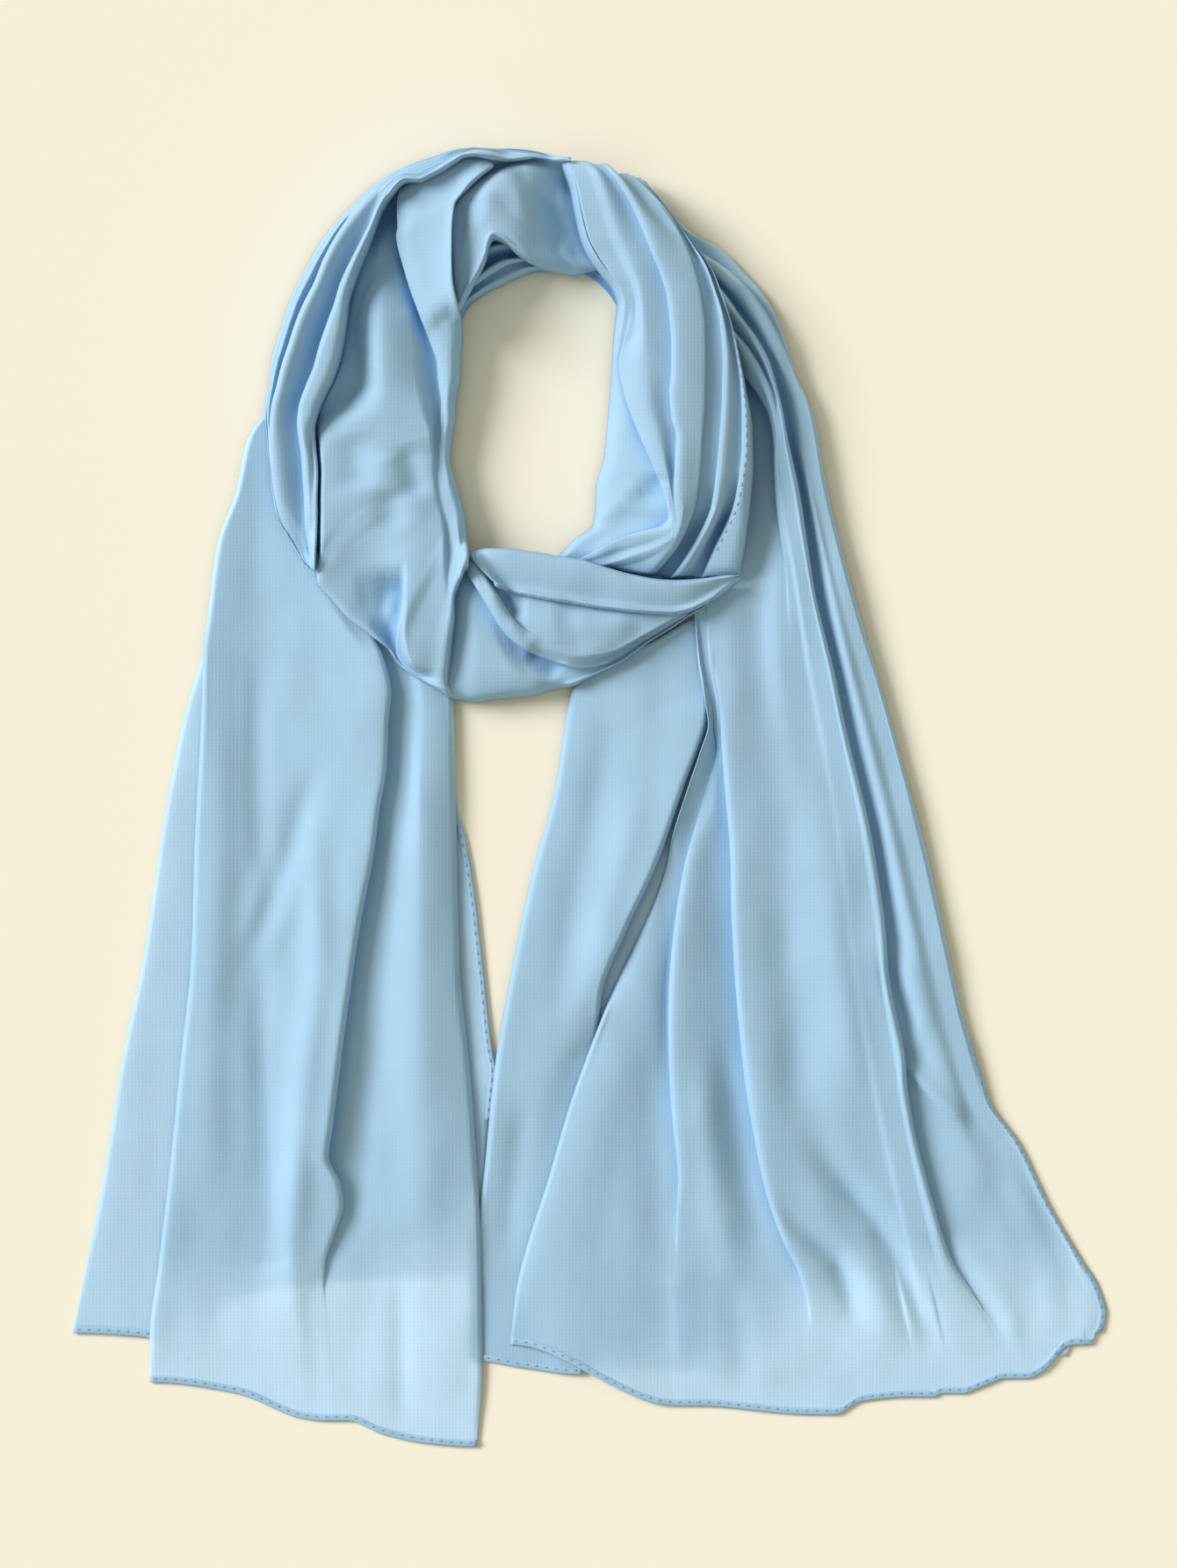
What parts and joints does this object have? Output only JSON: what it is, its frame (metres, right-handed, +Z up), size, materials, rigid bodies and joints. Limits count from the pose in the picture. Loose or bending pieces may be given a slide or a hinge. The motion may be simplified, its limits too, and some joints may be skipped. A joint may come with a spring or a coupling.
{
  "type": "chiffon scarf laid flat as a neck loop",
  "caption": "Light-blue chiffon scarf laid flat: wound once into a pleated neck loop, with two long hanging ends and a stitched rolled hem.",
  "frame": {"origin": "middle of the laid scarf's plan, on the surface that it lies on", "axes": "+Z up from the surface, +Y from the hanging ends towards the neck loop, +X to the right seen from above"},
  "size_m": [0.4816, 0.6062, 0.023],
  "materials": {
    "chiffon": "matte, sheer plain weave"
  },
  "bodies": {
    "root": {"left_tail_back": "chiffon", "left_tail_front": "chiffon", "right_tail_back": "chiffon", "right_tail_panel": "chiffon", "right_tail_front": "chiffon", "ring_core": "chiffon", "ring_twist": "chiffon", "ring_right_arm": "chiffon", "ring_crossing": "chiffon", "ring_hem_band": "chiffon", "ring_left_arm": "chiffon", "ring_top_band": "chiffon"}
  },
  "joints": []
}
